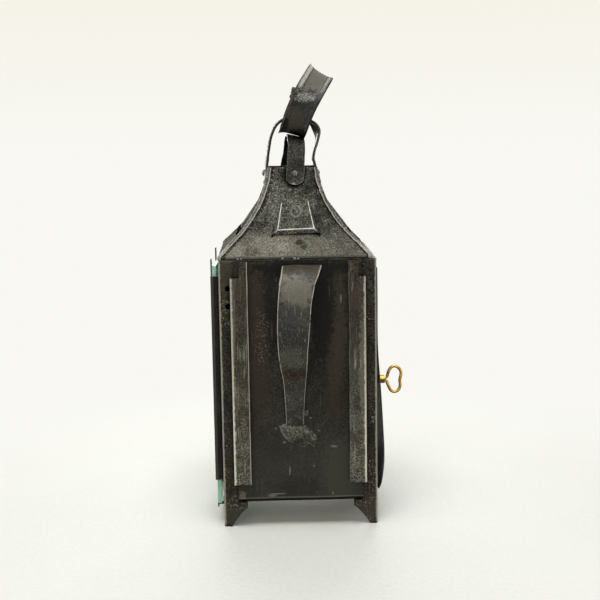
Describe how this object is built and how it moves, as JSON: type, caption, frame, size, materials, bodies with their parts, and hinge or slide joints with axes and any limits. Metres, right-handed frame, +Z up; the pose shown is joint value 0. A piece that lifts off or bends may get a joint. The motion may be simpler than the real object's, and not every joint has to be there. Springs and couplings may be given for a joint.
{
  "type": "candle lantern",
  "caption": "Square sheet-metal candle lantern with a concave hipped roof, carrying ring, rear pull strap, lift-out glass slides and a keyed side door.",
  "frame": {"origin": "on the floor, under the middle of the square body", "axes": "+Z up, -Y towards the pull-strap side, +X towards the door side"},
  "size_m": [0.1366, 0.1432, 0.3267],
  "materials": {
    "blackened_tin": "aged brown-black tinplate, dull sheen",
    "roof_tin": "speckled gunmetal tinplate with pale wear",
    "worn_rail": "rubbed steel with brown spots",
    "strap_iron": "dark iron strip, bright on worn edges",
    "solder": "rough dull solder",
    "green_glass": "pale green sheet glass",
    "clear_glass": "old clear sheet glass",
    "brass": "worn yellow brass",
    "wax": "ivory wax, slightly translucent",
    "wick": "charred cotton"
  },
  "bodies": {
    "lantern": {"post_back_left": "blackened_tin", "post_back_right": "blackened_tin", "post_front_left": "blackened_tin", "post_front_right": "blackened_tin", "eave_frame": "blackened_tin", "floor_pan": "blackened_tin", "roof_back": "roof_tin", "roof_front": "roof_tin", "roof_left": "roof_tin", "roof_right": "roof_tin", "hood_back": "roof_tin", "hood_front": "roof_tin", "hood_left": "roof_tin", "hood_right": "roof_tin", "strap_high": "strap_iron", "strap_low": "strap_iron", "strap_rivets": "strap_iron", "rail_back_left": "worn_rail", "rail_back_right": "worn_rail", "rail_left_back": "worn_rail", "rail_left_front": "worn_rail", "rail_front_left": "worn_rail", "rail_front_right": "worn_rail", "stops_back": "blackened_tin", "stops_left": "blackened_tin", "stops_front": "blackened_tin", "post_leaves": "worn_rail", "hinge_pins": "strap_iron", "drip_pan": "blackened_tin", "candle_socket": "blackened_tin"},
    "ring": {"carry_ring": "strap_iron"},
    "back_slide": {"back_panel": "blackened_tin", "pull_strap": "strap_iron", "strap_solder": "solder"},
    "green_slide": {"green_glass": "green_glass"},
    "front_slide": {"front_glass": "clear_glass"},
    "door": {"door_panel": "blackened_tin", "door_leaves": "worn_rail", "key_bush": "brass"},
    "key": {"key_bow": "brass", "key_shank": "brass", "latch_tongue": "brass"},
    "candle": {"candle": "wax", "wick": "wick"}
  },
  "joints": [
    {"name": "handle_swing", "type": "hinge", "parent": "lantern", "child": "ring", "pos_m": [0, 0, 0.27941], "axis": [0, 1, 0], "range_deg": [-28, 0]},
    {"name": "back_panel_slide", "type": "slide", "parent": "lantern", "child": "back_slide", "axis": [0, 0, 1], "range_m": [0, 0.15]},
    {"name": "green_glass_slide", "type": "slide", "parent": "lantern", "child": "green_slide", "axis": [0, 0, 1], "range_m": [0, 0.15]},
    {"name": "front_glass_slide", "type": "slide", "parent": "lantern", "child": "front_slide", "axis": [0, 0, 1], "range_m": [0, 0.15]},
    {"name": "door_hinge", "type": "hinge", "parent": "lantern", "child": "door", "pos_m": [0.0579, 0.0487, 0.104], "axis": [0, 0, 1], "range_deg": [0, 110]},
    {"name": "key_turn", "type": "hinge", "parent": "door", "child": "key", "pos_m": [0.058, -0.033, 0.101], "axis": [1, 0, 0], "range_deg": [0, 90]},
    {"name": "candle_lift", "type": "slide", "parent": "lantern", "child": "candle", "axis": [0, 0, 1], "range_m": [0, 0.025]}
  ]
}
